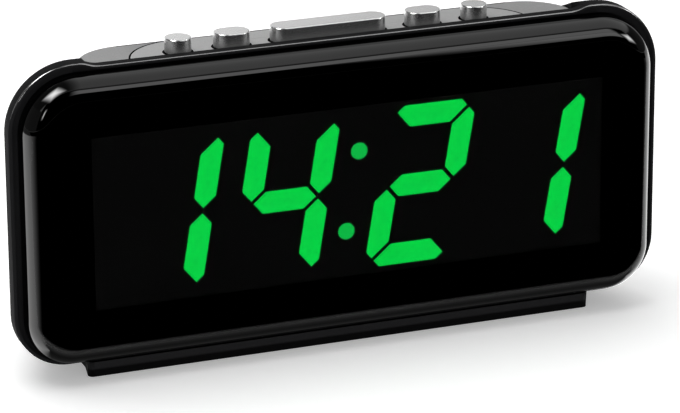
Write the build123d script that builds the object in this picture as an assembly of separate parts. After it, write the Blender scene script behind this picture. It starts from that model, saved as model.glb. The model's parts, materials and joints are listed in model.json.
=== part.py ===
from build123d import *
import math
import os

# Digital desk clock with a four-digit display behind a dark lens.
# Millimetres, +Z up, the lens faces -Y. Depths are measured back from the lens face,
# and the finished pieces are moved so that the origin lies under the middle of the case.

# Case and lens
body_depth = 48.0
lens_width = 183.0
lens_height = 81.0
lens_radii = (15.9, 13.0)
lens_edge = 6.5
lens_wall = 2.0
lens_gap = 0.25
side_margin = 2.9
top_margin = 2.95
bottom_margin = 1.2
corner_margins = (2.7, 2.1)
case_wall = 2.2
case_clearance = 4.6

# Front frame
rim_front = 7.4
rim_thickness = 2.6
rim_lip = 1.1
rim_round = 0.6
recess_depth = 0.9
lens_seat = 9.0
bulkhead = 2.8
rim_dip = 1.2
dip_half = 69.9
dip_ramp = 3.3
dip_round = 8.0
shoulder = 4.4
frame_depth = 8.6
frame_fall = 1.4
frame_narrowing = 1.17

# Rear shell
side_taper = 0.42
top_taper = 0.45
back_round = 7.0

# Deck, panel and button row
deck_drop = 3.43
deck_half = 72.0
deck_back = 29.7
deck_radius = 14.5
deck_thickness = 2.4
deck_gap = 0.15
deck_edge = 0.4
panel_half = 57.7
panel_margin = 0.9
panel_radius = 16.2
panel_thickness = 1.2
groove = 0.55
module_half = 56.0
row_depth = 18.3
button_breadth = 7.4
button_rise = 4.25
button_edge = 0.45
button_gap = 0.55
guide_gap = 0.3
flange = 0.6
flange_thickness = 1.2
flange_gap = 0.3
press = 0.5
round_x = 43.25
oval_x = 27.9
oval_length = 10.2
snooze_length = 33.4

# Key switches and their board
switch_size = 6.0
switch_height = 3.5
switch_edge = 0.3
plunger_diameter = 3.5
plunger_rise = 1.0
plunger_depth = 0.8
plunger_gap = 0.08
post_length = 2.4
key_board_half = 52.0
key_board_front = 14.3
key_board_back = 24.3
board_thickness = 1.6
key_post_diameter = 4.0
key_post_x = (19.75, 36.3)

# Display
digit_height = 45.72
digit_share = 0.17222
pitch_share = 0.22276
colon_share = 0.04277
segment_width = 6.2
segment_gap = 1.08
segment_corner = 4.48
slant = 9.7
segment_depth = 3.0
dot_radius = 2.35
dot_upper = 34.27
dot_lower = 11.52
dot_gap = 0.1
lens_to_display = 0.3
display_side = 16.8
display_height = 49.6
display_gap = 1.3
display_shift = 0.85
display_drop = 0.2
lit_digits = ("bc", "bcfg", "abdeg", "bc")

# Display board and what is soldered to it
board_side = 2.3
board_over = 5.2
board_corner = 1.5
chip_size = (18.0, 7.5, 2.6)
chip_leads = 14
chip_lift = 0.2
chip_lead_share = 0.4
chip_lead_reach = 1.5
chip_lead_height = 0.5
can_edge = 0.6
capacitor_sizes = ((30.0, 8.0, 12.0), (42.0, 6.3, 11.0))
capacitor_z = 32.0
crystal_size = (11.0, 4.7, 3.6)
crystal_x = -22.0
transistor_size = 4.6
transistor_flat = 0.8
transistor_pitch = 9.0
transistor_x = -50.0
transistor_z = 62.0
resistor_size = (3.2, 1.6, 0.7)
resistor_count = 10
resistor_pitch = 6.0
resistor_z = 56.0

# Battery bay on the back
cell_diameter = 10.5
cell_length = 44.5
cell_spacing = 11.5
cell_gap = 0.15
nub_diameter = 3.8
nub_length = 0.9
bay_x = -32.0
bay_z = 40.0
bay_wall = 1.4
bay_end_room = 3.0
contact_thickness = 0.5
contact_width = 8.0
door_lap = 2.0
door_thickness = 1.6
door_gap = 0.25
door_corner = 2.0
notch_width = 12.0
notch_depth = 0.8
notch_height = 2.4

# Power inlet, sounder and vents
jack_x = 44.0
jack_z = 22.0
jack_size = 10.0
jack_length = 12.0
jack_corner = 1.0
jack_bore = 6.4
jack_bore_depth = 9.5
jack_hole = 7.4
jack_pin_set = 1.0
jack_pin_diameter = 2.0
sounder_x = 40.0
sounder_z = 50.0
sounder_diameter = 24.0
sounder_height = 5.0
vent_count = 5
vent_pitch = 4.0
vent_width = 1.8
vent_share = 0.85

# Foot
foot_half_top = 74.3
foot_half_bottom = 74.2
foot_front_top = 6.6
foot_front_bottom = 6.8
foot_back_top = 42.0
foot_back_bottom = 40.5
foot_wall = 2.5
foot_end = 15.0
foot_floor = 2.2
foot_corner = 1.5
pad_diameter = 9.0
pad_rise = 0.3
pad_sink = 0.7
pad_x = 66.0
pad_inset = 6.5

# Screws
case_screw_x = 11.4
case_screw_z = 10.6
well_diameter = 6.2
well_floor = 3.0
boss_diameter = 7.5
screw_diameter = 2.9
screw_head = 5.4
screw_head_height = 2.0
screw_reach = 8.0
head_crown = 0.33
head_gap = 0.2
screw_gap = 0.1
pilot_spare = 0.5
small_screw = 2.2
small_head = 4.0
small_head_height = 1.5
key_screw = 2.0
key_screw_reach = 4.0
board_screw_x = 7.0
board_screw_z = 1.8
board_screw_bite = 1.8
deck_screw_side = 5.5
deck_screw_y = 24.6
deck_boss_drop = 5.2
deck_boss_diameter = 6.0
deck_screw_bite = 1.2
deck_screw_spare = 0.3
foot_screw_x = 56.0
foot_screw_y = (22.0, 36.0)
foot_screw_reach = 4.0
foot_boss_height = 5.5
foot_screw_sink = 2.3

# Leads
lead_diameter = 1.4
lead_pitch = 3.0
lead_fall = 4.0
lead_sag = 4.0
bend_share = 0.45
ribbon_width = 12.0
ribbon_thickness = 0.9
ribbon_bend = 3.0
ribbon_drop = 6.0

# Places worked out from the sizes above
case_width = lens_width + 2 * side_margin
case_half = case_width / 2
case_bottom = case_clearance
lens_bottom = case_bottom + bottom_margin
lens_top = lens_bottom + lens_height
case_top = lens_top + top_margin
case_radii = tuple(lens + margin for lens, margin in zip(lens_radii, corner_margins))
joint_width = case_width - 2 * frame_narrowing
display_width = lens_width - 2 * display_side
display_z = (lens_bottom + lens_top) / 2 - display_drop
digit_width = digit_share * display_width
digit_pitch = pitch_share * display_width
colon_space = colon_share * display_width
board_width = display_width + 2 * board_side
board_height = display_height + 2 * board_over
shoulder_back = rim_front + shoulder
frame_back = rim_front + frame_depth
frame_back_top = case_top - frame_fall
rim_back = rim_front + rim_thickness
bulkhead_back = lens_seat + bulkhead
shell_run = body_depth - frame_back
back_width = joint_width - 2 * side_taper * shell_run
back_top = frame_back_top - top_taper * shell_run
back_inside = body_depth - case_wall
deck_top = case_top - deck_drop
deck_under = deck_top - deck_thickness
deck_front = rim_back + deck_gap
panel_under = deck_top - panel_thickness
panel_back = deck_back - panel_margin
dip_top = case_top - rim_dip
button_top = deck_top + button_rise
flange_top = deck_under - flange_gap
flange_under = flange_top - flange_thickness
plunger_top = flange_under - post_length
switch_top = plunger_top - plunger_rise
key_board_top = switch_top - switch_height
display_front = lens_wall + lens_to_display
board_front = bulkhead_back
board_back = board_front + board_thickness
board_top = display_z + board_height / 2
board_bottom = display_z - board_height / 2
bay_length = cell_length + 2 * bay_end_room
bay_height = cell_spacing + cell_diameter + 2 * cell_gap
bay_floor = back_inside - door_thickness - cell_diameter - cell_gap
cell_axis = bay_floor + cell_gap + cell_diameter / 2
door_width = bay_length + 2 * door_lap
door_height = bay_height + 2 * door_lap
foot_bottom = pad_rise
screw_hole = screw_diameter + 2 * screw_gap
small_hole = small_screw + 2 * screw_gap
key_hole = key_screw + 2 * screw_gap
slant_ratio = math.tan(math.radians(slant))
display_span = 3 * digit_pitch + colon_space + digit_width

buttons = {
    "alarm_button": (-round_x, button_breadth),
    "hour_button": (-oval_x, oval_length),
    "snooze_button": (0.0, snooze_length),
    "minute_button": (oval_x, oval_length),
    "time_button": (round_x, button_breadth),
}


def outline(width, bottom, top, radii, grow=0.0):
    """Front outline with its own radius for the top and the bottom corners, grown evenly by a margin."""
    face = Pos(0, (top + bottom) / 2) * Rectangle(width + 2 * grow, top - bottom + 2 * grow)
    face = fillet(face.vertices().sort_by(Axis.Y)[-2:], radii[0] + grow)
    return fillet(face.vertices().sort_by(Axis.Y)[:2], radii[1] + grow)


def slab(face, near, far):
    """A face seen from the front, carried back from one depth to another."""
    return extrude(Plane.XZ.offset(-far) * face, amount=far - near)


def plate(face, low, high):
    """A face seen from above, raised from one height to another."""
    return extrude(Plane.XY.offset(low) * face, amount=high - low)


def taper(near_face, near, far_face, far):
    """Straight-sided body between two outlines at two depths."""
    return loft([Plane.XZ.offset(-near) * near_face, Plane.XZ.offset(-far) * far_face], ruled=True)


def stadium(length, breadth, grow=0.0):
    """Round-ended slot, or a circle where it is as long as it is broad."""
    if length - breadth < 0.01:
        return Circle(breadth / 2 + grow)
    return SlotOverall(length + 2 * grow, breadth + 2 * grow)


def half_moon(half, front, back, radius):
    """Plan of the deck plates: straight front edge and rounded rear corners."""
    face = Pos(0, (front + back) / 2) * Rectangle(2 * half, back - front)
    return fillet(face.vertices().sort_by(Axis.Y)[-2:], radius)


def group(parts):
    """Several separate solids kept as one piece."""
    return Compound([solid for part in parts for solid in part.solids()])


def rod(place, axis, diameter, length):
    """Round bar that starts at a place and runs along an axis."""
    return extrude(Plane(origin=place, z_dir=axis) * Circle(diameter / 2), amount=length)


def screw(place, axis, shank, reach, head, head_height):
    """Pan screw: the head sits before the place, the shank runs along the axis."""
    back = tuple(-value for value in axis)
    bolt = rod(place, axis, shank, reach) + rod(place, back, head, head_height)
    rim = bolt.faces().sort_by(Axis(place, back))[-1].edges()
    return fillet(rim, head_crown * head_height)


def corners(x, low, high, shift=0.0):
    """The four places at both sides and at two heights."""
    return [(shift + side * x, height) for side in (-1, 1) for height in (low, high)]


front_face = outline(case_width, case_bottom, case_top, case_radii)
joint_face = outline(joint_width, case_bottom, frame_back_top, case_radii)
back_face = outline(back_width, case_bottom, back_top, case_radii)
joint_hollow = outline(joint_width, case_bottom, frame_back_top, case_radii, -case_wall)
back_hollow = outline(back_width, case_bottom, back_top, case_radii, -case_wall)
lens_face = outline(lens_width, lens_bottom, lens_top, lens_radii)
deck_plan = half_moon(deck_half, deck_front, deck_back, deck_radius)
panel_plan = half_moon(panel_half, deck_front, panel_back, panel_radius)
pocket_plan = half_moon(deck_half + deck_gap, rim_back, deck_back + deck_gap, deck_radius)
deck_pocket = plate(pocket_plan, deck_under, case_top + 1)
case_screws_at = corners(case_half - case_screw_x,
                         case_bottom + case_screw_z, frame_back_top - case_screw_z)
board_screws_at = corners(board_width / 2 - board_screw_x,
                          board_bottom + board_screw_z, board_top - board_screw_z, display_shift)
deck_screws_at = [(side * (module_half + deck_screw_side), deck_screw_y) for side in (-1, 1)]
foot_screws_at = [(side * foot_screw_x, depth) for side in (-1, 1) for depth in foot_screw_y]
key_posts_at = [side * x for side in (-1, 1) for x in key_post_x]
pads_at = [(side * pad_x, depth) for side in (-1, 1)
           for depth in (foot_front_bottom + pad_inset, foot_back_bottom - pad_inset)]


def front_lens():
    """Dark moulded tray with a flat face and a rounded shoulder all round."""
    body = slab(lens_face, 0, lens_seat)
    body = fillet(body.faces().sort_by(Axis.Y)[0].edges(), lens_edge)
    inner_face = outline(lens_width, lens_bottom, lens_top, lens_radii, -lens_wall)
    hollow = slab(inner_face, lens_wall, lens_seat + 1)
    hollow = fillet(hollow.faces().sort_by(Axis.Y)[0].edges(), lens_edge - lens_wall)
    return body - hollow


def dip_face():
    """Shallow dip cut into the top of the belt, with softly rounded ramps."""
    reach = dip_half + 2 * dip_ramp
    crest = dip_half + dip_ramp
    face = make_face(Polyline((-reach, case_top), (-crest, case_top), (-dip_half, dip_top),
                              (dip_half, dip_top), (crest, case_top), (reach, case_top),
                              (reach, case_top + 1), (-reach, case_top + 1), close=True))
    bends = [corner for corner in face.vertices() if corner.Y <= case_top and abs(corner.X) < reach]
    return fillet(bends, dip_round)


def front_frame():
    """Belt round the lens, with the bulkhead that seats lens, board and deck."""
    dip = dip_face()
    belt = slab(front_face - dip, rim_front, shoulder_back)
    belt = fillet(belt.faces().sort_by(Axis.Y)[0].edges(), rim_round)
    rear = taper(front_face, shoulder_back, joint_face, frame_back) - slab(dip, rim_front, frame_back + 1)
    body = belt + rear
    recess = outline(case_width, case_bottom, case_top, case_radii, -rim_lip) - Pos(0, -rim_lip) * dip
    body -= slab(recess, rim_front - 1, rim_front + recess_depth)
    body -= slab(outline(lens_width, lens_bottom, lens_top, lens_radii, lens_gap),
                 rim_front - 1, lens_seat)
    window = Rectangle(display_width + 2 * display_gap, display_height + 2 * display_gap)
    body -= slab(Pos(display_shift, display_z) * window, lens_seat - 1, bulkhead_back + 1)
    body -= slab(joint_hollow, bulkhead_back, frame_back + 1)
    body -= deck_pocket
    for x, z in case_screws_at:
        post = rod((x, bulkhead_back, z), (0, 1, 0), boss_diameter, frame_back - bulkhead_back)
        depth = screw_reach - well_floor + pilot_spare
        pilot = rod((x, frame_back, z), (0, -1, 0), screw_hole, depth)
        body = body + post - pilot
    for x, z in board_screws_at:
        body -= rod((x, bulkhead_back, z), (0, -1, 0), small_hole, board_screw_bite + pilot_spare)
    return body


def rear_shell():
    """Tapered back with the deck pedestal, screw wells, battery opening and vents."""
    outer = taper(joint_face, frame_back, back_face, body_depth)
    outer = fillet(outer.faces().sort_by(Axis.Y)[-1].edges(), back_round)
    pedestal = plate(deck_plan, display_z, deck_under) - slab(front_face, 0, frame_back)
    hollow = taper(joint_hollow, frame_back, back_hollow, back_inside)
    hollow = fillet(hollow.faces().sort_by(Axis.Y)[-1].edges(), back_round - case_wall)
    opening = half_moon(module_half, deck_front - 1, deck_back - case_wall, panel_radius - case_wall)
    body = outer + pedestal - hollow - deck_pocket
    body -= plate(opening, key_board_top - switch_height, deck_top)
    for x, z in case_screws_at:
        tube = rod((x, frame_back, z), (0, 1, 0), boss_diameter, shell_run + 1) & outer
        well = rod((x, frame_back + well_floor, z), (0, 1, 0), well_diameter, shell_run + 1)
        shank = rod((x, frame_back - 1, z), (0, 1, 0), screw_hole, well_floor + 2)
        body = body + tube - well - shank
    for x, y in deck_screws_at:
        low = deck_under - deck_boss_drop
        body += rod((x, y, low), (0, 0, 1), deck_boss_diameter, deck_boss_drop)
        body -= rod((x, y, low - 1), (0, 0, 1), small_hole, deck_boss_drop + 2)
    for x, y in foot_screws_at:
        body += rod((x, y, case_bottom), (0, 0, 1), boss_diameter, foot_boss_height)
        body -= rod((x, y, case_bottom - 1), (0, 0, 1), screw_hole, foot_screw_reach + pilot_spare + 1)
    bay = Pos(bay_x, bay_z)
    body -= slab(bay * Rectangle(bay_length, bay_height), back_inside - 1, body_depth + 1)
    door_seat = RectangleRounded(door_width + 2 * door_gap, door_height + 2 * door_gap,
                                 door_corner + door_gap)
    body -= slab(bay * door_seat, body_depth - door_thickness, body_depth + 1)
    body -= rod((jack_x, back_inside - 1, jack_z), (0, 1, 0), jack_hole, case_wall + 2)
    for row in range(vent_count):
        z = sounder_z + (row - (vent_count - 1) / 2) * vent_pitch
        length = vent_share * math.sqrt(sounder_diameter ** 2 - (2 * (z - sounder_z)) ** 2)
        body -= slab(Pos(sounder_x, z) * SlotOverall(length, vent_width), back_inside - 1, body_depth + 1)
    return body


def top_deck():
    """Plate let in behind the rim, recessed for the control panel."""
    body = plate(deck_plan, deck_under, deck_top)
    top_edges = body.faces().sort_by(Axis.Z)[-1].edges()
    rear = [edge for edge in top_edges if edge.center().Y > deck_front + deck_edge]
    body = fillet(rear, deck_edge)
    recess = half_moon(panel_half + groove, deck_front - 1, panel_back + groove, panel_radius + groove)
    body -= plate(recess, panel_under, deck_top + 1)
    for x, length in buttons.values():
        hole = Pos(x, row_depth) * stadium(length, button_breadth, guide_gap)
        body -= plate(hole, deck_under - 1, deck_top + 1)
    for x in key_posts_at:
        body += rod((x, row_depth, key_board_top), (0, 0, 1), key_post_diameter, deck_under - key_board_top)
        body -= rod((x, row_depth, key_board_top), (0, 0, 1), key_hole, key_screw_reach + pilot_spare)
    for x, y in deck_screws_at:
        body -= rod((x, y, deck_under), (0, 0, 1), small_hole, deck_screw_bite + deck_screw_spare)
    return body


def control_panel():
    """Inlaid plate with the five button holes."""
    body = plate(panel_plan, panel_under, deck_top)
    for x, length in buttons.values():
        hole = Pos(x, row_depth) * stadium(length, button_breadth, button_gap)
        body -= plate(hole, panel_under - 1, deck_top + 1)
    return body


def button(x, length):
    """Key cap with a retaining flange and the post that meets its switch."""
    spot = Pos(x, row_depth)
    cap = plate(spot * stadium(length, button_breadth), flange_top, button_top)
    cap = fillet(cap.faces().sort_by(Axis.Z)[-1].edges(), button_edge)
    brim = plate(spot * stadium(length, button_breadth, flange), flange_under, flange_top)
    post = plate(spot * Circle(plunger_diameter / 2), plunger_top, flange_under)
    return cap + brim + post


def plunger(x):
    """Moving pin of one key switch."""
    length = plunger_rise + plunger_depth
    return rod((x, row_depth, plunger_top - length), (0, 0, 1), plunger_diameter, length)


def switch_bodies():
    """Square switch housings, each with the well that its pin runs in."""
    bodies = []
    well_depth = plunger_depth + press + 2 * plunger_gap
    for x, length in buttons.values():
        body = plate(Pos(x, row_depth) * Rectangle(switch_size, switch_size), key_board_top, switch_top)
        body = chamfer(body.faces().sort_by(Axis.Z)[-1].edges(), switch_edge)
        well = rod((x, row_depth, switch_top), (0, 0, -1), plunger_diameter + 2 * plunger_gap, well_depth)
        bodies.append(body - well)
    return group(bodies)


def key_board():
    """Circuit board that carries the five switches under the deck."""
    depth = key_board_back - key_board_front
    face = Pos(0, (key_board_front + key_board_back) / 2) * Rectangle(2 * key_board_half, depth)
    body = plate(face, key_board_top - board_thickness, key_board_top)
    for x in key_posts_at:
        low = key_board_top - board_thickness - 1
        body -= rod((x, row_depth, low), (0, 0, 1), small_hole, board_thickness + 2)
    return body


def segment_faces():
    """The seven bars of one upright digit as named outlines, before slanting."""
    width, height, bar = digit_width, digit_height, segment_width
    nick = segment_gap / math.sqrt(2)
    middle, corner = height / 2, segment_corner
    side = [(0, height - corner), (0, middle + bar / 2 + nick), (bar / 2, middle + nick),
            (bar, middle + bar / 2 + nick), (bar, height - bar - nick),
            ((corner - nick) / 2, height - (corner + nick) / 2)]
    cap = [((corner + nick) / 2, height - (corner - nick) / 2), (bar + nick, height - bar),
           (width - bar - nick, height - bar), (width - (corner + nick) / 2, height - (corner - nick) / 2),
           (width - corner, height), (corner, height)]
    mid = [(bar / 2 + nick, middle), (bar + nick, middle - bar / 2),
           (width - bar - nick, middle - bar / 2), (width - bar / 2 - nick, middle),
           (width - bar - nick, middle + bar / 2), (bar + nick, middle + bar / 2)]

    def mirror(points):
        return [(width - u, v) for u, v in points]

    def flip(points):
        return [(u, height - v) for u, v in points]

    return {"a": cap, "b": mirror(side), "c": flip(mirror(side)), "d": flip(cap),
            "e": flip(side), "f": side, "g": mid}


def display_x(place, height):
    """Position across the display, leaned over with height about its middle."""
    return display_shift + place - display_span / 2 + slant_ratio * (height - digit_height / 2)


def digit_segments(place, letters):
    """Chosen bars of one digit as solids filled flush with the display face."""
    left = digit_pitch * place + (colon_space if place > 1 else 0)
    base = display_z - digit_height / 2
    solids = []
    for letter, points in segment_faces().items():
        if letter in letters:
            leaned = [(display_x(left + u, v), base + v) for u, v in points]
            face = make_face(Polyline(*leaned, close=True))
            solids.append(slab(face, display_front, display_front + segment_depth))
    return solids


def all_segments(lit):
    """Every lit bar of the shown time, or every dark one."""
    bars = []
    for place, letters in enumerate(lit_digits):
        chosen = letters if lit else [name for name in "abcdefg" if name not in letters]
        bars += digit_segments(place, chosen)
    return bars


def dots(grow=0.0):
    """The two round lights between hours and minutes."""
    middle = display_span / 2
    base = display_z - digit_height / 2
    return [rod((display_x(middle, height), display_front, base + height), (0, 1, 0),
                2 * (dot_radius + grow), segment_depth) for height in (dot_upper, dot_lower)]


def display_housing():
    """Dark block with a cavity for every bar and dot."""
    face = Pos(display_shift, display_z) * RectangleRounded(display_width, display_height, board_corner)
    body = slab(face, display_front, board_front)
    for bar in all_segments(True) + all_segments(False) + dots(dot_gap):
        body -= bar
    return body


def display_board():
    """Main circuit board behind the display."""
    face = Pos(display_shift, display_z) * RectangleRounded(board_width, board_height, board_corner)
    body = slab(face, board_front, board_back)
    for x, z in board_screws_at:
        body -= rod((x, board_front - 1, z), (0, 1, 0), small_hole, board_thickness + 2)
    return body


def controller_chip():
    """Clock controller with a row of leads on each long side."""
    length, breadth, height = chip_size
    body = slab(Pos(0, display_z) * Rectangle(length, breadth), board_back + chip_lift, board_back + height)
    pitch = length / chip_leads
    for index in range(chip_leads):
        x = (index - (chip_leads - 1) / 2) * pitch
        lead = Pos(x, display_z) * Rectangle(chip_lead_share * pitch, breadth + 2 * chip_lead_reach)
        body += slab(lead, board_back, board_back + chip_lead_height)
    return body


def quartz_crystal():
    """Metal can of the timing crystal."""
    length, breadth, height = crystal_size
    body = slab(Pos(crystal_x, display_z) * SlotOverall(length, breadth), board_back, board_back + height)
    return fillet(body.faces().sort_by(Axis.Y)[-1].edges(), can_edge)


def capacitors():
    """Supply capacitors standing off the board."""
    cans = []
    for x, diameter, height in capacitor_sizes:
        can = rod((x, board_back, capacitor_z), (0, 1, 0), diameter, height)
        cans.append(fillet(can.faces().sort_by(Axis.Y)[-1].edges(), can_edge))
    return group(cans)


def driver_transistors():
    """Half-round transistors, one for each digit."""
    bodies = []
    for index in range(len(lit_digits)):
        x = transistor_x + index * transistor_pitch
        flat = Pos(0, transistor_size / 2 + transistor_flat) * Rectangle(transistor_size, transistor_size)
        can = Circle(transistor_size / 2) - flat
        bodies.append(slab(Pos(x, transistor_z) * can, board_back, board_back + transistor_size))
    return group(bodies)


def resistors():
    """Row of flat chip resistors that feed the bars."""
    length, breadth, height = resistor_size
    start = -(resistor_count - 1) / 2 * resistor_pitch
    faces = [Pos(start + index * resistor_pitch, resistor_z) * Rectangle(length, breadth)
             for index in range(resistor_count)]
    return group([slab(face, board_back, board_back + height) for face in faces])


def battery_box():
    """Tray for the two backup cells, seated on the inside of the back."""
    place = Pos(bay_x, bay_z)
    body = slab(place * Rectangle(bay_length + 2 * bay_wall, bay_height + 2 * bay_wall),
                bay_floor - bay_wall, back_inside)
    return body - slab(place * Rectangle(bay_length, bay_height), bay_floor, back_inside + 1)


def cells():
    """Two backup cells side by side, turned opposite ways."""
    bodies = []
    for side in (-1, 1):
        z = bay_z + side * cell_spacing / 2
        start = bay_x - side * cell_length / 2
        can = rod((start, cell_axis, z), (side, 0, 0), cell_diameter, cell_length - nub_length)
        can += rod((start, cell_axis, z), (side, 0, 0), nub_diameter, cell_length)
        bodies.append(can)
    return group(bodies)


def battery_contacts():
    """Pressed contact plates with a boss that meets each cell end."""
    bodies = []
    for end in (-1, 1):
        for side in (-1, 1):
            z = bay_z + side * cell_spacing / 2
            wall = bay_x + end * bay_length / 2
            seat = Plane(origin=(wall, cell_axis, z), z_dir=(-end, 0, 0))
            body = extrude(seat * Rectangle(contact_width, contact_width), amount=contact_thickness)
            body += rod((wall, cell_axis, z), (-end, 0, 0), nub_diameter, bay_end_room)
            bodies.append(body)
    return group(bodies)


def battery_door():
    """Lift-off cover, flush with the back, with a finger notch."""
    face = Pos(bay_x, bay_z) * RectangleRounded(door_width, door_height, door_corner)
    body = slab(face, body_depth - door_thickness, body_depth)
    notch = Pos(bay_x, bay_z + door_height / 2 - notch_height) * SlotOverall(notch_width, notch_height)
    return body - slab(notch, body_depth - notch_depth, body_depth + 1)


def power_jack():
    """Inlet for the mains adaptor, seated on the inside of the back."""
    face = Pos(jack_x, jack_z) * RectangleRounded(jack_size, jack_size, jack_corner)
    body = slab(face, back_inside - jack_length, back_inside)
    return body - rod((jack_x, back_inside, jack_z), (0, -1, 0), jack_bore, jack_bore_depth)


def jack_pin():
    """Centre contact of the inlet."""
    start = back_inside - jack_bore_depth
    pin = rod((jack_x, start, jack_z), (0, 1, 0), jack_pin_diameter, jack_bore_depth - jack_pin_set)
    return fillet(pin.faces().sort_by(Axis.Y)[-1].edges(), can_edge)


def piezo_sounder():
    """Round alarm sounder behind the vents."""
    body = rod((sounder_x, back_inside, sounder_z), (0, -1, 0), sounder_diameter, sounder_height)
    return fillet(body.faces().sort_by(Axis.Y)[0].edges(), can_edge)


def base_foot():
    """Sloped foot under the case, hollow on top, with pad recesses and screw holes."""

    def footprint(half, front, back):
        return Pos(0, (front + back) / 2) * RectangleRounded(2 * half, back - front, foot_corner)

    low = Plane.XY.offset(foot_bottom) * footprint(foot_half_bottom, foot_front_bottom, foot_back_bottom)
    high = Plane.XY.offset(case_bottom) * footprint(foot_half_top, foot_front_top, foot_back_top)
    body = loft([low, high], ruled=True)
    breadth = foot_back_bottom - foot_front_bottom - 2 * foot_wall
    inside = Rectangle(2 * (foot_half_bottom - foot_end), breadth)
    middle = (foot_front_bottom + foot_back_bottom) / 2
    body -= plate(Pos(0, middle) * inside, foot_bottom + foot_floor, case_bottom + 1)
    for x, y in foot_screws_at:
        body += rod((x, y, foot_bottom), (0, 0, 1), boss_diameter, case_bottom - foot_bottom)
        body -= rod((x, y, foot_bottom - 1), (0, 0, 1), screw_hole, case_bottom + 1)
        body -= rod((x, y, foot_bottom - 1), (0, 0, 1), screw_head + 2 * head_gap, foot_screw_sink + 1)
    for x, y in pads_at:
        body -= rod((x, y, foot_bottom - 1), (0, 0, 1), pad_diameter + 2 * screw_gap, pad_sink + 1)
    return body


def foot_pads():
    """Four rubber discs that the clock stands on."""
    pads = []
    for x, y in pads_at:
        pads.append(rod((x, y, 0), (0, 0, 1), pad_diameter, pad_rise + pad_sink))
    return group(pads)


def lead_pair(x, depth, z):
    """Two wires side by side from a piece on the back to the board, with one soft bend."""
    wires = []
    for side in (-1, 1):
        first = Vector(x + side * lead_pitch / 2, depth, z)
        last = Vector(first.X, board_back, z - lead_fall)
        middle = (first + last) / 2 - Vector(0, 0, lead_sag)
        runs = ((middle - first).length, (last - middle).length)
        turn = (middle - first).get_angle(last - middle)
        radius = bend_share * min(runs) / math.tan(math.radians(turn / 2))
        path = FilletPolyline(first, middle, last, radius=radius)
        face = Plane(origin=path @ 0, z_dir=path % 0) * Circle(lead_diameter / 2)
        room = slab(front_face, board_back, depth)
        wires.append(sweep(face, path=path) & room)
        print("lead bend radius", round(radius, 1))
    return group(wires)


def key_ribbon():
    """Flat cable from the key board down and forward to the display board."""
    y = (key_board_front + key_board_back) / 2
    z_top = key_board_top - board_thickness
    drop = z_top - ribbon_drop
    path = FilletPolyline((0, y, z_top), (0, y, drop), (0, board_back, drop), radius=ribbon_bend)
    start = Plane(origin=path @ 0, x_dir=(1, 0, 0), z_dir=path % 0)
    return sweep(start * Rectangle(ribbon_width, ribbon_thickness), path=path)


pieces = {
    "front_lens": front_lens(),
    "front_frame": front_frame(),
    "rear_shell": rear_shell(),
    "top_deck": top_deck(),
    "control_panel": control_panel(),
    "switch_bodies": switch_bodies(),
    "key_board": key_board(),
    "display_housing": display_housing(),
    "lit_segments": group(all_segments(True)),
    "unlit_segments": group(all_segments(False)),
    "colon_dots": group(dots()),
    "display_board": display_board(),
    "controller_chip": controller_chip(),
    "quartz_crystal": quartz_crystal(),
    "capacitors": capacitors(),
    "driver_transistors": driver_transistors(),
    "resistors": resistors(),
    "battery_box": battery_box(),
    "battery_cells": cells(),
    "battery_contacts": battery_contacts(),
    "battery_door": battery_door(),
    "power_jack": power_jack(),
    "jack_pin": jack_pin(),
    "piezo_sounder": piezo_sounder(),
    "base_foot": base_foot(),
    "foot_pads": foot_pads(),
    "key_ribbon": key_ribbon(),
}
for name, (x, length) in buttons.items():
    pieces[name] = button(x, length)
    pieces[name.replace("button", "plunger")] = plunger(x)

# Screws, each group named for what it holds
pieces["case_screws"] = group([
    screw((x, frame_back + well_floor, z), (0, -1, 0), screw_diameter, screw_reach,
          screw_head, screw_head_height) for x, z in case_screws_at])
pieces["board_screws"] = group([
    screw((x, board_back, z), (0, -1, 0), small_screw, board_thickness + board_screw_bite,
          small_head, small_head_height) for x, z in board_screws_at])
pieces["key_board_screws"] = group([
    screw((x, row_depth, key_board_top - board_thickness), (0, 0, 1), key_screw,
          board_thickness + key_screw_reach, small_head, small_head_height) for x in key_posts_at])
pieces["deck_screws"] = group([
    screw((x, y, deck_under - deck_boss_drop), (0, 0, 1), small_screw, deck_boss_drop + deck_screw_bite,
          small_head, small_head_height) for x, y in deck_screws_at])
foot_screw_seat = foot_bottom + foot_screw_sink
pieces["foot_screws"] = group([
    screw((x, y, foot_screw_seat), (0, 0, 1), screw_diameter,
          case_bottom - foot_screw_seat + foot_screw_reach, screw_head, screw_head_height)
    for x, y in foot_screws_at])

# Wires from the back of the case to the display board
box_front = bay_floor - bay_wall
jack_front = back_inside - jack_length
sounder_front = back_inside - sounder_height
pieces["battery_leads"] = lead_pair(bay_x, box_front, bay_z)
pieces["jack_leads"] = lead_pair(jack_x, jack_front, jack_z)
pieces["sounder_leads"] = lead_pair(sounder_x, sounder_front, sounder_z)

os.makedirs("parts", exist_ok=True)
for name, shape in pieces.items():
    export_step(Pos(0, -body_depth / 2, 0) * shape, f"parts/{name}.step")
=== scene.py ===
import json
import math

import bmesh
import bpy
from mathutils import Matrix, Vector


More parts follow.
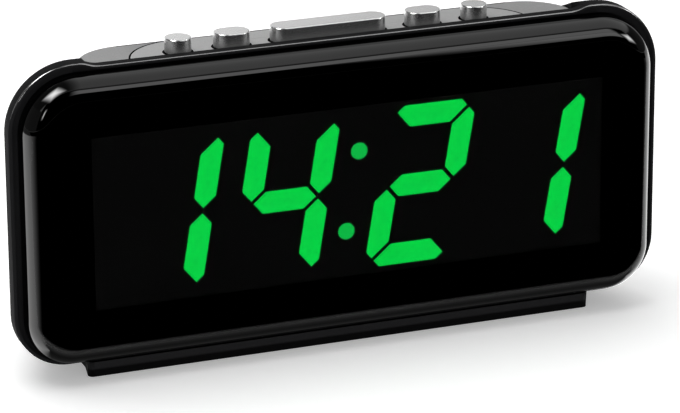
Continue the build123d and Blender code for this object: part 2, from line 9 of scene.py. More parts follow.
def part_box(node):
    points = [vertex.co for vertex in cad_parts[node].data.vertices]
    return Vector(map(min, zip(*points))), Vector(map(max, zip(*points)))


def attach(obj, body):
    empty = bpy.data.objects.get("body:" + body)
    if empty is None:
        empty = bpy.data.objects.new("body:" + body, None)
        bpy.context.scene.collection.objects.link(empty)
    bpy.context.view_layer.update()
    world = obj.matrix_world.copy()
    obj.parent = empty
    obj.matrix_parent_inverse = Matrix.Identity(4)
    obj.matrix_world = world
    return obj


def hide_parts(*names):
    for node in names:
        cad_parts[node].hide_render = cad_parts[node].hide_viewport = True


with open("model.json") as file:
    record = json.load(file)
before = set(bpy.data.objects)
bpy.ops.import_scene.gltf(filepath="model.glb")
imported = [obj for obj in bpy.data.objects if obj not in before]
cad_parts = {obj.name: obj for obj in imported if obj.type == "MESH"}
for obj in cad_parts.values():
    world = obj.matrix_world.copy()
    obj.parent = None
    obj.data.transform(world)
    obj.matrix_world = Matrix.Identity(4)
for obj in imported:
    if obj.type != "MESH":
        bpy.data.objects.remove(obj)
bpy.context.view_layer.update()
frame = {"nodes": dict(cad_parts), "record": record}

bl_info = {
    "name": "Desk clock looks",
    "version": (1, 0, 0),
    "blender": (4, 5, 0),
    "location": "View3D > Sidebar > Clock",
    "description": "Dresses the packed desk clock and sets its studio stage",
    "category": "Object",
}

MM = 0.001
MERGE_DISTANCE = 0.002 * MM
SMOOTH_ANGLE = math.radians(32)

# Segments of the rounds
LENS_CORNER_SEGMENTS = 28
LENS_EDGE_SEGMENTS = 18
BUTTON_SEGMENTS = 96
BUTTON_EDGE_SEGMENTS = 4
POST_SEGMENTS = 32

# Least and most upward tilt of the faces on the belt's polished edge
RIM_TILT = (0.3, 0.8)

# CAD nodes, by how they are dressed
SLOTS = {entry["node"]: entry["material_slot"] for entry in frame["record"]["subparts"]}
BODIES = {node: body for body, nodes in frame["record"]["behaviour"]["bodies"].items() for node in nodes}
BUTTONS = ("alarm_button", "hour_button", "snooze_button", "minute_button", "time_button")
REMADE = ("front_lens", "front_frame", "rear_shell", "base_foot", "top_deck", "control_panel", *BUTTONS)
FITTINGS = ("foot_pads", "foot_screws", "case_screws", "battery_door")
DISPLAY = ("display_housing", "lit_segments", "unlit_segments", "colon_dots")


def linear(code):
    """Linear colour of an sRGB hex value."""
    parts = [int(code[place:place + 2], 16) / 255 for place in (1, 3, 5)]
    return tuple(part / 12.92 if part <= 0.04045 else ((part + 0.055) / 1.055) ** 2.4 for part in parts)


def per(size_mm):
    """Texture scale whose pattern repeats about once in this many millimetres."""
    return 1 / (size_mm * MM)


def opaque(colour):
    """A colour as the four numbers that a socket takes."""
    return (*colour[:3], 1.0)


def scaled(colour, share):
    """A colour made darker or brighter by a share, as the four numbers that a socket takes."""
    return opaque([min(part * share, 1) for part in colour])


# Settings

def colour_prop(name, description, code):
    """Colour property with a default given as sRGB hex."""
    return bpy.props.FloatVectorProperty(name=name, description=description, subtype="COLOR", size=3,
                                         min=0, max=1, default=linear(code))


def size_prop(name, description, millimetres):
    """Length property with a default given in millimetres."""
    return bpy.props.FloatProperty(name=name, description=description, unit="LENGTH",
                                   default=millimetres * MM)


def place_prop(name, description, place):
    """Place property with a default given in metres."""
    return bpy.props.FloatVectorProperty(name=name, description=description, unit="LENGTH", size=3,
                                         default=place)


class ClockSizes(bpy.types.PropertyGroup):
    """Sizes of the pieces that are modelled here."""

    lens_top_corner: size_prop("Lens top corner", "Radius of the two upper corners of the lens", 15.9)
    lens_low_corner: size_prop("Lens low corner", "Radius of the two lower corners of the lens", 13.0)
    lens_edge: size_prop("Lens edge", "Radius of the shoulder round the lens face", 6.5)
    lens_wall: size_prop("Lens wall", "Thickness of the lens", 2.0)
    groove: size_prop("Groove", "Width of the unpainted groove round the control panel", 0.55)
    button_flange: size_prop("Button flange", "Reach of the flange that keeps a button in the deck", 0.6)
    flange_height: size_prop("Flange height", "Thickness of that flange", 1.2)
    button_height: size_prop("Button height", "Height of a button above its flange", 6.95)
    button_edge: size_prop("Button edge", "Radius of the round on the top edge of a button", 0.35)
    post: size_prop("Post", "Diameter of the post under a button", 3.5)
    foot_bend: size_prop("Foot bend", "Depth of the leaning front part of the foot's ends", 8.0)
    foot_lean: size_prop("Foot lean", "How far the foot's ends lean in over that depth", 1.2)
    foot_wall: size_prop("Foot wall", "Depth from the foot's end that holds its end wall", 3.6)
    rim_round: size_prop("Rim round", "Depth of the polished round on the front edge of the belt", 0.6)


class ClockColours(bpy.types.PropertyGroup):
    """Colours of the finishes."""

    lens: colour_prop("Lens", "Tint of the smoked lens", "#3c3c3c")
    case: colour_prop("Case", "Satin black of the belt", "#1a1a1b")
    shell: colour_prop("Shell", "Textured black of shell and foot", "#1d1d1e")
    deck: colour_prop("Deck", "Satin grey paint of the deck", "#8e8e8e")
    panel: colour_prop("Panel", "Satin silver of the control panel", "#9e9e9e")
    button: colour_prop("Buttons", "Satin silver of the button caps", "#e6e6e6")
    lit: colour_prop("Lit segments", "Glow of the digits", "#03cd42")
    dots: colour_prop("Colon dots", "Glow of the two dots", "#0ab242")


class ClockView(bpy.types.PropertyGroup):
    """Camera of the studio view."""

    lens: bpy.props.FloatProperty(name="Focal length", description="Camera focal length in millimetres",
                                  default=205.33)
    place: place_prop("Place", "Where the camera stands", (-0.35545, -0.9605, 0.3935))
    aim: place_prop("Aim", "Point that the camera looks at", (-0.00295, -0.0224, 0.0422))
    roll: bpy.props.FloatProperty(name="Roll", description="Turn about the line of sight", unit="ROTATION",
                                  default=math.radians(-0.333))


def sizes():
    """Sizes set in the scene."""
    return bpy.context.scene.clock_sizes


def colours():
    """Colours set in the scene."""
    return bpy.context.scene.clock_colours


# Materials

def add(tree, kind, inputs=None, **settings):
    """Adds a node with its settings, and with a value or a link for each named input."""
    made = tree.nodes.new(kind)
    for name, value in settings.items():
        setattr(made, name, value)
    for name, value in (inputs or {}).items():
        if isinstance(value, bpy.types.NodeSocket):
            tree.links.new(value, made.inputs[name])
        else:
            made.inputs[name].default_value = value
    return made


def new_material(name):
    """Empty node material and its tree."""
    made = bpy.data.materials.new(name)
    made.use_nodes = True
    made.node_tree.nodes.clear()
    return made, made.node_tree


def close(tree, shader):
    """Joins the finished shader to the output."""
    add(tree, "ShaderNodeOutputMaterial", {"Surface": shader.outputs[0]})


def smoked_acrylic(name, tint, low, high, flow_mm=60, depth_mm=0.02):
    """Smoked acrylic from a polished mould: a deep mirror with a very slow wave.

    It is printed black on its back, round a window that lets the lit bars show sharply.
    """
    made, tree = new_material(name)
    place = add(tree, "ShaderNodeTexCoord")
    along = add(tree, "ShaderNodeSeparateXYZ", {"Vector": place.outputs["Object"]})
    within = [add(tree, "ShaderNodeMath", {0: along.outputs[axis], 1: (near + far) / 2, 2: (far - near) / 2},
                  operation="COMPARE").outputs[0]
              for axis, near, far in (("X", low.x, high.x), ("Z", low.z, high.z))]
    window = add(tree, "ShaderNodeMath", {0: within[0], 1: within[1]}, operation="MULTIPLY")
    print_black = add(tree, "ShaderNodeMixRGB", {
        "Fac": window.outputs[0], "Color1": (0.0, 0.0, 0.0, 1.0), "Color2": opaque(tint)})
    flow = add(tree, "ShaderNodeTexNoise", {
        "Vector": place.outputs["Object"], "Scale": per(flow_mm), "Detail": 1.0})
    bump = add(tree, "ShaderNodeBump", {
        "Height": flow.outputs["Fac"], "Strength": 0.1, "Distance": depth_mm * MM})
    shader = add(tree, "ShaderNodeBsdfPrincipled", {
        "Base Color": print_black.outputs["Color"], "Roughness": 0.0, "IOR": 1.49,
        "Transmission Weight": window.outputs[0], "Normal": bump.outputs["Normal"]})
    close(tree, shader)
    return made


def moulded_abs(name, colour, roughness, specular, ior=1.53, wave_mm=9):
    """Black ABS as it leaves the mould: an even sheen, dim or polished, with a faint wave in it."""
    made, tree = new_material(name)
    place = add(tree, "ShaderNodeTexCoord")
    wave = add(tree, "ShaderNodeTexNoise", {
        "Vector": place.outputs["Object"], "Scale": per(wave_mm), "Detail": 2.0})
    rough = add(tree, "ShaderNodeMapRange", {
        "Value": wave.outputs["Fac"], "To Min": roughness - 0.05, "To Max": roughness + 0.05})
    shader = add(tree, "ShaderNodeBsdfPrincipled", {
        "Base Color": opaque(colour), "Roughness": rough.outputs["Result"], "IOR": ior,
        "Specular IOR Level": specular})
    close(tree, shader)
    return made


def textured_abs(name, colour, grain_mm=0.5, depth_mm=0.02, painted_shade_mm=0.0, blend_mm=0.6):
    """ABS from a spark-eroded mould: a fine matte grain that breaks the highlight up.

    A skirt, where there is one, gets painted shade: it is darker up to its height above the table.
    """
    made, tree = new_material(name)
    place = add(tree, "ShaderNodeTexCoord")
    grain = add(tree, "ShaderNodeTexNoise", {
        "Vector": place.outputs["Object"], "Scale": per(grain_mm), "Detail": 3.0})
    bump = add(tree, "ShaderNodeBump", {
        "Height": grain.outputs["Fac"], "Strength": 0.5, "Distance": depth_mm * MM})
    tone = add(tree, "ShaderNodeMixRGB", {
        "Fac": grain.outputs["Fac"], "Color1": scaled(colour, 0.8), "Color2": scaled(colour, 1.25)})
    rough = add(tree, "ShaderNodeMapRange", {"Value": grain.outputs["Fac"], "To Min": 0.4, "To Max": 0.6})
    # Painted shade: the colour falls to 15% on the skirt next to the table
    along = add(tree, "ShaderNodeSeparateXYZ", {"Vector": place.outputs["Object"]})
    above = add(tree, "ShaderNodeMapRange", {
        "Value": along.outputs["Z"], "From Min": (painted_shade_mm - blend_mm) * MM, "From Max": painted_shade_mm * MM,
        "To Min": 0.15})
    shade = add(tree, "ShaderNodeMixRGB", {
        "Fac": 1.0, "Color1": tone.outputs["Color"], "Color2": above.outputs["Result"]},
        blend_type="MULTIPLY")
    shader = add(tree, "ShaderNodeBsdfPrincipled", {
        "Base Color": shade.outputs["Color"], "Roughness": rough.outputs["Result"], "IOR": 1.53,
        "Specular IOR Level": 0.1, "Normal": bump.outputs["Normal"]})
    close(tree, shader)
    return made


def metallic_paint(name, colour, roughness, flake_mm=0.35):
    """Silver lacquer sprayed on ABS: a satin sheen with fine flakes of slightly different brightness."""
    made, tree = new_material(name)
    place = add(tree, "ShaderNodeTexCoord")
    flake = add(tree, "ShaderNodeTexVoronoi", {"Vector": place.outputs["Object"], "Scale": per(flake_mm)})
    tone = add(tree, "ShaderNodeMixRGB", {
        "Fac": flake.outputs["Color"], "Color1": scaled(colour, 0.93), "Color2": scaled(colour, 1.06)})
    rough = add(tree, "ShaderNodeMapRange", {
        "Value": flake.outputs["Distance"], "To Min": roughness - 0.03, "To Max": roughness + 0.05})
    shader = add(tree, "ShaderNodeBsdfPrincipled", {
        "Base Color": tone.outputs["Color"], "Metallic": 0.35, "Roughness": rough.outputs["Result"]})
    close(tree, shader)
    return made


def brushed_cap(name, colour, top, line_mm=0.3, depth_mm=0.004, edge_mm=0.27, wall_mm=3.3):
    """Aluminium cap with a fine grain that spreads what it mirrors up and down, into upright bands.

    Real grain is finer than a pixel of the render, so its lines are drawn about five times as broad.
    The wall carries painted shade, darker from the edge below its top down to where it dips into the panel.
    """
    made, tree = new_material(name)
    place = add(tree, "ShaderNodeTexCoord")
    stretch = add(tree, "ShaderNodeMapping", {"Vector": place.outputs["Object"], "Scale": (1.0, 1.0, 0.03)})
    lines = add(tree, "ShaderNodeTexNoise", {
        "Vector": stretch.outputs["Vector"], "Scale": per(line_mm), "Detail": 2.0})
    bump = add(tree, "ShaderNodeBump", {
        "Height": lines.outputs["Fac"], "Strength": 0.05, "Distance": depth_mm * MM})
    rough = add(tree, "ShaderNodeMapRange", {"Value": lines.outputs["Fac"], "To Min": 0.23, "To Max": 0.28})
    spread = add(tree, "ShaderNodeCombineXYZ", {"X": 0.0, "Y": 0.2, "Z": 1.0})
    along = add(tree, "ShaderNodeSeparateXYZ", {"Vector": place.outputs["Object"]})
    # Painted shade: the wall's colour falls to 30% towards the panel
    edge = top - edge_mm * MM
    shade = add(tree, "ShaderNodeMapRange", {
        "Value": along.outputs["Z"], "From Min": edge - wall_mm * MM, "From Max": edge, "To Min": 0.3})
    tone = add(tree, "ShaderNodeVectorMath", {"Vector": colour[:3], "Scale": shade.outputs["Result"]},
               operation="SCALE")
    shader = add(tree, "ShaderNodeBsdfPrincipled", {
        "Base Color": tone.outputs["Vector"], "Metallic": 1.0, "Roughness": rough.outputs["Result"],
        "Anisotropic": 0.75, "Tangent": spread.outputs["Vector"], "Normal": bump.outputs["Normal"]})
    close(tree, shader)
    return made


def glowing_epoxy(name, colour, strength=24.0, cloud_mm=6):
    """Diffusing epoxy over a lit die: an even glow with a faint cloud in the fill."""
    made, tree = new_material(name)
    place = add(tree, "ShaderNodeTexCoord")
    cloud = add(tree, "ShaderNodeTexNoise", {
        "Vector": place.outputs["Object"], "Scale": per(cloud_mm), "Detail": 1.0})
    power = add(tree, "ShaderNodeMapRange", {
        "Value": cloud.outputs["Fac"], "To Min": strength * 0.95, "To Max": strength * 1.05})
    shader = add(tree, "ShaderNodeBsdfPrincipled", {
        "Base Color": (0.02, 0.02, 0.02, 1.0), "Roughness": 0.5, "Emission Color": opaque(colour),
        "Emission Strength": power.outputs["Result"]})
    close(tree, shader)
    return made


def plain_piece(name, code, metal=0.0, roughness=0.45, grain_mm=1.0):
    """Finish of a small or hidden piece: its colour, given as sRGB hex, with a fine mottle."""
    made, tree = new_material(name)
    colour = linear(code)
    place = add(tree, "ShaderNodeTexCoord")
    mottle = add(tree, "ShaderNodeTexNoise", {"Vector": place.outputs["Object"], "Scale": per(grain_mm)})
    tone = add(tree, "ShaderNodeMixRGB", {
        "Fac": mottle.outputs["Fac"], "Color1": scaled(colour, 0.85), "Color2": scaled(colour, 1.15)})
    shader = add(tree, "ShaderNodeBsdfPrincipled", {
        "Base Color": tone.outputs["Color"], "Metallic": metal, "Roughness": roughness})
    close(tree, shader)
    return made


FINISHES = {}


def finishes():
    """Material of every slot in the record, and of a few single faces, made once."""
    ready = FINISHES
    if ready:
        return ready
    tones = colours()
    button_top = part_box("snooze_button")[1][2]
    ready["black_gloss"] = moulded_abs("ABS black satin", tones.case, 0.6, 0.01)
    ready["rim_edge"] = moulded_abs("ABS black polished edge", tones.case, 0.16, 1.0, ior=2.0)
    # Bare black plastic for the groove, made darker and duller than that plastic as painted shade
    ready["bare_groove"] = moulded_abs("ABS black unpainted, painted shade", linear("#060606"), 0.7, 0.0)
    ready["black_matte"] = textured_abs("ABS black textured", tones.shell)
    # The foot's lowest 2.8 mm carry painted shade
    ready["foot_black"] = textured_abs("ABS black textured, painted skirt shade", tones.shell, painted_shade_mm=2.8)
    ready["deck_grey"] = metallic_paint("ABS lacquered satin grey", tones.deck, 0.45)
    ready["panel_silver"] = metallic_paint("ABS lacquered satin silver", tones.panel, 0.42)
    ready["button_silver"] = brushed_cap("Aluminium spun bright", tones.button, button_top)
    ready["lit_green"] = glowing_epoxy("Epoxy diffuser lit green", tones.lit)
    ready["dot_green"] = glowing_epoxy("Epoxy diffuser lit dots", tones.dots)
    ready["unlit_segment"] = plain_piece("Epoxy diffuser dark", "#151815")
    ready["display_black"] = plain_piece("ABS display block", "#141414", roughness=0.6)
    ready["switch_black"] = plain_piece("PBT black", "#202022")
    ready["circuit_board"] = plain_piece("Glass epoxy board green", "#1d5a33", roughness=0.35)
    ready["screw_steel"] = plain_piece("Steel zinc plated", "#b8b9ba", metal=1.0, roughness=0.35)
    ready["capacitor_sleeve"] = plain_piece("PVC sleeve blue", "#1c2a5a", roughness=0.3)
    ready["cell_steel"] = plain_piece("PVC sleeve grey", "#77797d", roughness=0.3)
    ready["contact_brass"] = plain_piece("Brass nickel plated", "#c9bd9a", metal=1.0, roughness=0.3)
    ready["pad_rubber"] = plain_piece("Rubber black", "#1a1a1a", roughness=0.8)
    ready["ribbon_grey"] = plain_piece("PVC ribbon grey", "#a0a0a0")
    ready["lead_red"] = plain_piece("PVC lead red", "#b01818")
    ready["lead_black"] = plain_piece("PVC lead black", "#1a1a1a")
    return ready


# Pieces

def set_material(piece, made):
    """Gives a piece one material in place of any that it has."""
    piece.data.materials.clear()
    piece.data.materials.append(made)


def dress(*nodes):
    """Puts the slot's finish on CAD nodes as they are."""
    for node in nodes:
        set_material(frame["nodes"][node], finishes()[SLOTS[node]])


def soften(piece):
    """Smooth shading that stays flat on flat faces and breaks at sharp edges."""
    piece.data.shade_smooth()
    piece.data.set_sharp_from_angle(angle=SMOOTH_ANGLE)
    weighted = piece.modifiers.new("Even normals", "WEIGHTED_NORMAL")
    weighted.keep_sharp = True


def mesh_object(name, build):
    """Object of a finished bmesh, with its place in its mesh."""
    mesh = bpy.data.meshes.new(name)
    build.to_mesh(mesh)
    build.free()
    piece = bpy.data.objects.new(name, mesh)
    bpy.context.scene.collection.objects.link(piece)
    return piece


def new_piece(name, build, node):
    """Object from a bmesh that stands for one CAD node and rides on its body."""
    piece = mesh_object(name, build)
    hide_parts(node)
    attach(piece, BODIES[node])
    return piece


def finished_piece(name, build, node, made):
    """New piece with its material on, and its rounds shaded smoothly."""
    piece = new_piece(name, build, node)
    set_material(piece, made)
    soften(piece)
    return piece


def merged_copy(node):
    """Bmesh of a CAD node with its loose corners merged."""
    build = bmesh.new()
    build.from_mesh(frame["nodes"][node].data)
    bmesh.ops.remove_doubles(build, verts=build.verts, dist=MERGE_DISTANCE)
    return build


def smooth_copy(node):
    """Copy of a CAD node with merged corners, so that its rounds shade smoothly."""
    return finished_piece(f"{node}_smooth", merged_copy(node), node, finishes()[SLOTS[node]])


def split_at(build, depth):
    """Cuts every face at this depth, with both sides kept."""
    bmesh.ops.bisect_plane(build, geom=[*build.verts, *build.edges, *build.faces], dist=MERGE_DISTANCE,
                           plane_co=(0, depth, 0), plane_no=(0, 1, 0))


def sweep(build, faces, step):
    """Extrudes faces by a step and gives the faces at its far end."""
    swept = bmesh.ops.extrude_face_region(build, geom=faces)["geom"]
    moved = [part for part in swept if isinstance(part, bmesh.types.BMVert)]
    bmesh.ops.translate(build, verts=moved, vec=step)
    return [part for part in swept if isinstance(part, bmesh.types.BMFace)]


class CLOCK_OT_lens(bpy.types.Operator):
    """Models the smoked lens as a rounded tray with a flat face"""

    bl_idname = "clock.lens"
    bl_label = "Lens"

    def execute(self, context):
        low, high = (Vector(corner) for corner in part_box("front_lens"))
        build = bmesh.new()
        corners = [build.verts.new((x, low.y, z)) for x, z in
                   ((low.x, low.z), (high.x, low.z), (high.x, high.z), (low.x, high.z))]
        build.faces.new(corners)
        rounds = ((corners[:2], sizes().lens_low_corner), (corners[2:], sizes().lens_top_corner))
        for pair, radius in rounds:
            bmesh.ops.bevel(build, geom=pair, offset=radius, offset_type="OFFSET", affect="VERTICES",
                            segments=LENS_CORNER_SEGMENTS, profile=0.5, material=-1)
        back = sweep(build, build.faces[:], (0, high.y - low.y, 0))
        bmesh.ops.delete(build, geom=back, context="FACES_ONLY")
        bmesh.ops.recalc_face_normals(build, faces=build.faces)
        front = low.y + MERGE_DISTANCE
        shoulder = [edge for edge in build.edges if all(vert.co.y < front for vert in edge.verts)]
        bmesh.ops.bevel(build, geom=shoulder, offset=sizes().lens_edge, offset_type="OFFSET", affect="EDGES",
                        segments=LENS_EDGE_SEGMENTS, profile=0.5, material=-1)
        piece = new_piece("lens", build, "front_lens")
        window = (Vector(corner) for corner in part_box("display_housing"))
        set_material(piece, smoked_acrylic("Acrylic smoked, printed black", colours().lens, *window))
        wall = piece.modifiers.new("Wall", "SOLIDIFY")
        wall.thickness = sizes().lens_wall
        wall.offset = -1
        soften(piece)
        return {"FINISHED"}


class CLOCK_OT_case(bpy.types.Operator):
    """Finishes the belt, the shell, the foot and the screws that show"""

    bl_idname = "clock.case"
    bl_label = "Case"

    def execute(self, context):
        belt = smooth_copy("front_frame")
        smooth_copy("rear_shell")
        self.lean_foot()
        belt.data.materials.append(finishes()["rim_edge"])
        rim_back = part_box("front_frame")[0][1] + sizes().rim_round
        for face in belt.data.polygons:
            if face.center.y < rim_back and RIM_TILT[0] < face.normal.z < RIM_TILT[1]:
                face.material_index = 1
        dress(*FITTINGS)
        return {"FINISHED"}

    def lean_foot(self):
        """Foot whose end walls run inwards behind its front corners."""
        low, high = (Vector(corner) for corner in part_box("base_foot"))
        bend = low.y + sizes().foot_bend
        build = merged_copy("base_foot")
        split_at(build, bend)
        for vert in build.verts:
            if abs(vert.co.x) > high.x - sizes().foot_wall and vert.co.y > bend - MERGE_DISTANCE:
                vert.co.x -= math.copysign(sizes().foot_lean, vert.co.x)
        finished_piece("base_foot_smooth", build, "base_foot", finishes()["foot_black"])


class CLOCK_OT_deck(bpy.types.Operator):
    """Finishes the deck and its inlaid panel; groove and strip behind it are bare black in painted shade"""

    bl_idname = "clock.deck"
    bl_label = "Deck"

    def execute(self, context):
        panel = smooth_copy("control_panel")
        low, high = (Vector(corner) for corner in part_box("control_panel"))
        build = merged_copy("top_deck")
        split_at(build, high.y)
        deck = finished_piece("top_deck_smooth", build, "top_deck", finishes()[SLOTS["top_deck"]])
        reach = sizes().groove + MERGE_DISTANCE
        for piece in (deck, panel):
            piece.data.materials.append(finishes()["bare_groove"])
            for face in piece.data.polygons:
                x, y, z = face.center
                inside = low.x - reach < x < high.x + reach and y < high.y + reach
                in_groove = inside and z < high.z - MERGE_DISTANCE
                behind_panel = low.x < x < high.x and y > high.y + MERGE_DISTANCE
                # Groove walls and floor, and the strip behind the panel, take the painted shade
                if in_groove or behind_panel:
                    face.material_index = 1
        return {"FINISHED"}


class CLOCK_OT_buttons(bpy.types.Operator):
    """Models the five button caps, each with its retaining flange and post"""

    bl_idname = "clock.buttons"
    bl_label = "Buttons"

    def execute(self, context):
        for node in BUTTONS:
            low, high = (Vector(corner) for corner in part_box(node))
            build = self.cap(low, high)
            finished_piece(f"{node}_cap", build, node, finishes()[SLOTS[node]])
        return {"FINISHED"}

    def cap(self, low, high):
        """Bmesh of a round or long cap that fills this box."""
        middle = (low + high) / 2
        foot = high.z - sizes().button_height - sizes().flange_height
        build = bmesh.new()
        bmesh.ops.create_circle(build, cap_ends=True, segments=BUTTON_SEGMENTS, radius=(high.y - low.y) / 2)
        half_step = Matrix.Rotation(math.pi / BUTTON_SEGMENTS, 3, "Z")
        bmesh.ops.rotate(build, verts=build.verts, matrix=half_step)
        straight = (high.x - low.x - high.y + low.y) / 2
        for vert in build.verts:
            vert.co.x += math.copysign(straight, vert.co.x)
        bmesh.ops.translate(build, verts=build.verts, vec=(middle.x, middle.y, foot))
        top = sweep(build, build.faces[:], (0, 0, sizes().flange_height))
        bmesh.ops.inset_region(build, faces=top, thickness=sizes().button_flange, use_even_offset=True)
        top = sweep(build, top, (0, 0, sizes().button_height))
        bmesh.ops.bevel(build, geom=top[0].edges[:], offset=sizes().button_edge, offset_type="OFFSET",
                        affect="EDGES", segments=BUTTON_EDGE_SEGMENTS, profile=0.5, material=-1)
        radius = sizes().post / 2
        length = foot - low.z
        place = Matrix.Translation((middle.x, middle.y, low.z + length / 2))
        bmesh.ops.create_cone(build, cap_ends=True, segments=POST_SEGMENTS, radius1=radius, radius2=radius,
                              depth=length, matrix=place)
        bmesh.ops.recalc_face_normals(build, faces=build.faces)
        return build


class CLOCK_OT_display(bpy.types.Operator):
    """Lights the display"""

    bl_idname = "clock.display"
    bl_label = "Display"

    def execute(self, context):
        dress(*DISPLAY)
        return {"FINISHED"}


class CLOCK_OT_inside(bpy.types.Operator):
    """Finishes everything inside the case"""

    bl_idname = "clock.inside"
    bl_label = "Inside"

    def execute(self, context):
        done = {*REMADE, *FITTINGS, *DISPLAY}
        dress(*[node for node in SLOTS if node not in done])
        return {"FINISHED"}


# Stage, with places and sizes in metres

CLOCK_MIDDLE = (0, 0, 0.05)
FLOOR_HALF = 6.0
WHITE = (1.0, 1.0, 1.0, 1.0)


def seen(tree):
    """Factor that is 1 where the camera, a mirror-like surface or glass looks at the backdrop."""
    path = add(tree, "ShaderNodeLightPath")
    first = add(tree, "ShaderNodeMath", {
        0: path.outputs["Is Camera Ray"], 1: path.outputs["Is Glossy Ray"]}, operation="MAXIMUM")
    return add(tree, "ShaderNodeMath", {
        0: first.outputs[0], 1: path.outputs["Is Transmission Ray"]}, operation="MAXIMUM").outputs[0]


def paper_sweep(albedo=0.95, lift=0.31):
    """Matte white paper sweep, lifted to white where it is looked at, with the shadow kept."""
    made, tree = new_material("Paper sweep white")
    diffuse = add(tree, "ShaderNodeBsdfDiffuse", {"Color": opaque((albedo, albedo, albedo))})
    power = add(tree, "ShaderNodeMath", {0: seen(tree), 1: lift}, operation="MULTIPLY")
    glow = add(tree, "ShaderNodeEmission", {"Color": WHITE, "Strength": power.outputs[0]})
    both = add(tree, "ShaderNodeAddShader", {0: diffuse.outputs[0], 1: glow.outputs[0]})
    close(tree, both)
    return made


def studio_cloth(name, glow, fade):
    """Cloth of a studio card: black velvet at no glow, a lit diffuser above it, thin at its edges."""
    made, tree = new_material(name)
    place = add(tree, "ShaderNodeTexCoord")
    along = add(tree, "ShaderNodeSeparateXYZ", {"Vector": place.outputs["UV"]})
    inset = [add(tree, "ShaderNodeMath", {0: along.outputs[axis], 1: 0.5}, operation="PINGPONG").outputs[0]
             for axis in ("X", "Y")]
    ramps = [add(tree, "ShaderNodeMapRange", {"Value": near, "From Max": reach},
                 interpolation_type="SMOOTHSTEP").outputs["Result"] for near, reach in zip(inset, fade)]
    body = add(tree, "ShaderNodeMath", {0: ramps[0], 1: ramps[1]}, operation="MINIMUM")
    light = add(tree, "ShaderNodeEmission", {"Color": WHITE, "Strength": glow})
    clear = add(tree, "ShaderNodeBsdfTransparent")
    both = add(tree, "ShaderNodeMixShader", {0: body.outputs[0], 1: clear.outputs[0], 2: light.outputs[0]})
    close(tree, both)
    return made


def studio_world(scene, fill=0.35):
    """White surround for what looks at it, and a softer fill for matte surfaces."""
    world = bpy.data.worlds.new("Studio surround")
    world.use_nodes = True
    tree = world.node_tree
    tree.nodes.clear()
    power = add(tree, "ShaderNodeMapRange", {"Value": seen(tree), "To Min": fill, "To Max": 1.0})
    glow = add(tree, "ShaderNodeBackground", {"Color": WHITE, "Strength": power.outputs["Result"]})
    add(tree, "ShaderNodeOutputWorld", {"Surface": glow.outputs[0]})
    scene.world = world


def facing(place, aim, axis):
    """Matrix that stands a thing at a place and turns this axis of it to a point."""
    turn = (Vector(aim) - Vector(place)).to_track_quat(axis, "Y")
    return Matrix.Translation(place) @ turn.to_matrix().to_4x4()


def softbox(name, place, aim, width, height, power):
    """Rectangular studio lamp at a place, facing a point."""
    lamp = bpy.data.lights.new(name, "AREA")
    lamp.shape = "RECTANGLE"
    lamp.size = width
    lamp.size_y = height
    lamp.energy = power
    holder = bpy.data.objects.new(name, lamp)
    holder.matrix_world = facing(place, aim, "-Z")
    holder.visible_glossy = False
    bpy.context.scene.collection.objects.link(holder)


def unit_grid(segments=1):
    """Bmesh of a flat sheet one metre square, with a UV map."""
    build = bmesh.new()
    build.loops.layers.uv.new("UVMap")
    bmesh.ops.create_grid(build, x_segments=segments, y_segments=1, size=0.5, calc_uvs=True)
    return build


def hang(name, build, glow, fade):
    """Stage object of a card's mesh, hidden from everything but mirror-like surfaces."""
    piece = mesh_object(name, build)
    set_material(piece, studio_cloth(name, glow, fade))
    for ray in ("camera", "diffuse", "transmission", "volume_scatter", "shadow"):
        setattr(piece, f"visible_{ray}", False)


def card(name, place, aim, width, height, glow, fade):
    """Flat card at a place, facing a point. Its edges fade over these shares of its width and height."""
    build = unit_grid()
    bmesh.ops.scale(build, vec=(width, height, 1), verts=build.verts)
    bmesh.ops.transform(build, matrix=facing(place, aim, "Z"), verts=build.verts)
    hang(name, build, glow, fade)


def fan(name, place, radius, first, last, glow, ramp, segments=24):
    """Card on the floor round one end of the lens, between two directions in degrees.

    It grows brighter over its ramp, also in degrees, from the first direction backwards.
    """
    build = unit_grid(segments)
    for vert in build.verts:
        turned = math.radians(first + (vert.co.x + 0.5) * (last - first))
        reach = (vert.co.y + 0.5) * radius
        vert.co = Vector(place) + reach * Vector((math.sin(turned), -math.cos(turned), 0))
    hang(name, build, glow, (ramp / abs(last - first), 0.001))


def lay_floor():
    """Paper floor under the clock, out to past the cards."""
    build = bmesh.new()
    bmesh.ops.create_grid(build, x_segments=1, y_segments=1, size=FLOOR_HALF)
    floor = mesh_object("floor", build)
    set_material(floor, paper_sweep())


def hang_lamps():
    """Main light from above and behind, a low one for the foot, and one over the left end of the deck."""
    softbox("Overhead box", (-0.05, 0.5, 1.1), CLOCK_MIDDLE, 1.8, 1.2, 8)
    softbox("Low front box", (-0.05, -0.5, 0.03), (0, 0, 0.02), 0.8, 0.06, 1.4)
    softbox("Left box", (-0.15, 0.05, 0.6), CLOCK_MIDDLE, 0.6, 0.5, 1.8)


def lay_aprons():
    """Cards on the floor that set what the lower shoulder of the lens, the belt and the foot mirror."""
    for name, place, width, height, glow, fade in (
            ("Front apron", (0.2, -1.03, 0.0003), 4.4, 2.0, 0.0, (0.005, 0.005)),
            ("Foot apron", (0, -0.002, 0.0004), 0.2, 0.07, 0.09, (0.03, 0.2)),
            ("Left apron", (-1.28, 0.9, 0.0003), 2.0, 2.0, 0.2, (0.01, 0.01))):
        card(name, place, (place[0], place[1], 1), width, height, glow, fade)
    low, high = (Vector(corner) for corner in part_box("front_lens"))
    fan("Left fan", (low.x, low.y, 0.0005), 0.5, -46, -205, 2.3, 60)
    fan("Right fan", (high.x, low.y, 0.0006), 0.6, 66, 240, 2.3, 80)


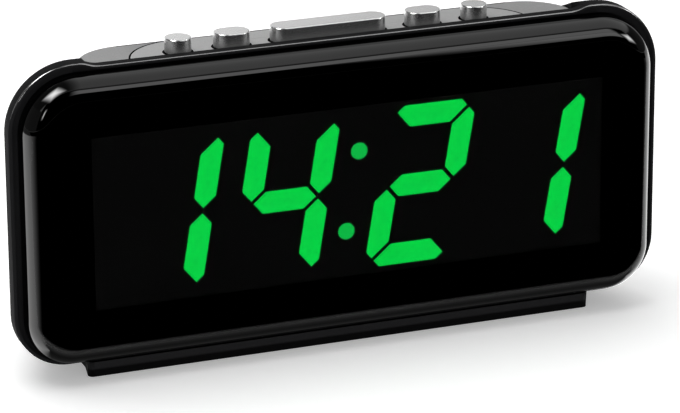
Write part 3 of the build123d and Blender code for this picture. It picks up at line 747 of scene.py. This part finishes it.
def hang_cards():
    """Flags that keep the white surround out of the lens, and the panels that draw its bright bands."""
    crisp = (0.01, 0.01)
    soft = (0.5, 0.5)
    card("Ceiling flag", (0.2, 0.9, 1.6), (0.2, 0.9, 0), 6.8, 3.4, 0.08, crisp)
    card("Front flag", (0.2, -1.65, 1.6), (0.2, 0, 1.6), 6.8, 3.2, 0.0, crisp)
    card("Left flag", (-2.6, 0.5, 0.8), (0, 0.5, 0.8), 4.5, 1.7, 0.12, crisp)
    card("Right flag", (2.9, 0.5, 0.8), (0, 0.5, 0.8), 4.5, 1.7, 0.08, crisp)
    card("Overhead panel", (1.1, 0.3, 1.2), (1.1, 0.3, 0), 2.6, 1.8, 1.0, (0.22, 0.03))
    card("Panel gap", (1.1, -0.68, 1.21), (1.1, -0.68, 0), 2.6, 0.1, 0.35, (0.2, 0.2))
    card("Front panel", (0.9, -1.6, 1.9), (0.9, 0, 1.9), 2.2, 1.1, 2.0, (0.3, 0.06))
    card("Front right panel", (1.2, -1.59, 1.0), (1.2, 0, 1.0), 1.1, 0.8, 2.2, (0.2, 0.15))
    card("Key panel", (-0.47, -0.105, 0.886), CLOCK_MIDDLE, 0.75, 0.6, 20.0, soft)
    card("Key strip", (-0.743, -0.684, 0.443), CLOCK_MIDDLE, 0.12, 0.36, 12.0, soft)
    card("Right panel", (0.97, -0.6, 0.4), CLOCK_MIDDLE, 0.4, 0.4, 15.0, soft)
    card("Back flag", (0.42, 0.35, 0.35), (0.42, 0, 0.35), 0.8, 0.7, 0.45, (0.3, 0.3))


def aim_camera(view):
    """Camera matrix from its place, the point it looks at and its roll."""
    forward = (Vector(view.aim) - Vector(view.place)).normalized()
    right = forward.cross(Vector((0, 0, 1))).normalized()
    up = right.cross(forward)
    turned = right * math.cos(view.roll) + up * math.sin(view.roll)
    lifted = turned.cross(forward)
    axes = Matrix((turned, lifted, -forward)).transposed()
    return Matrix.Translation(view.place) @ axes.to_4x4()


def set_camera(scene):
    """Camera of the studio view."""
    camera = bpy.data.cameras.new("Camera")
    camera.lens = scene.clock_view.lens
    camera.sensor_width = 36
    camera.clip_start = 0.01
    holder = bpy.data.objects.new("Camera", camera)
    holder.matrix_world = aim_camera(scene.clock_view)
    scene.collection.objects.link(holder)
    scene.camera = holder


class CLOCK_OT_stage(bpy.types.Operator):
    """Sets the floor, the surround, the lamps, the cards and the camera"""

    bl_idname = "clock.stage"
    bl_label = "Stage"

    def execute(self, context):
        scene = context.scene
        scene.view_settings.view_transform = "Standard"
        lay_floor()
        studio_world(scene)
        hang_lamps()
        lay_aprons()
        hang_cards()
        set_camera(scene)
        return {"FINISHED"}


# Add-on

STEPS = (CLOCK_OT_lens, CLOCK_OT_case, CLOCK_OT_deck, CLOCK_OT_buttons, CLOCK_OT_display, CLOCK_OT_inside,
         CLOCK_OT_stage)


class CLOCK_PT_tools(bpy.types.Panel):
    """Lists the steps in the sidebar"""

    bl_label = "Desk clock"
    bl_space_type = "VIEW_3D"
    bl_region_type = "UI"
    bl_category = "Clock"

    def draw(self, context):
        for step in STEPS:
            self.layout.operator(step.bl_idname)


CLASSES = (ClockSizes, ClockColours, ClockView, *STEPS, CLOCK_PT_tools)


def register():
    for kind in CLASSES:
        bpy.utils.register_class(kind)
    bpy.types.Scene.clock_sizes = bpy.props.PointerProperty(type=ClockSizes)
    bpy.types.Scene.clock_colours = bpy.props.PointerProperty(type=ClockColours)
    bpy.types.Scene.clock_view = bpy.props.PointerProperty(type=ClockView)


def unregister():
    del bpy.types.Scene.clock_view
    del bpy.types.Scene.clock_colours
    del bpy.types.Scene.clock_sizes
    for kind in reversed(CLASSES):
        bpy.utils.unregister_class(kind)


def main():
    register()
    bpy.ops.clock.lens()
    bpy.ops.clock.case()
    bpy.ops.clock.deck()
    bpy.ops.clock.buttons()
    bpy.ops.clock.display()
    bpy.ops.clock.inside()
    bpy.ops.clock.stage()


if __name__ == "__main__":
    main()
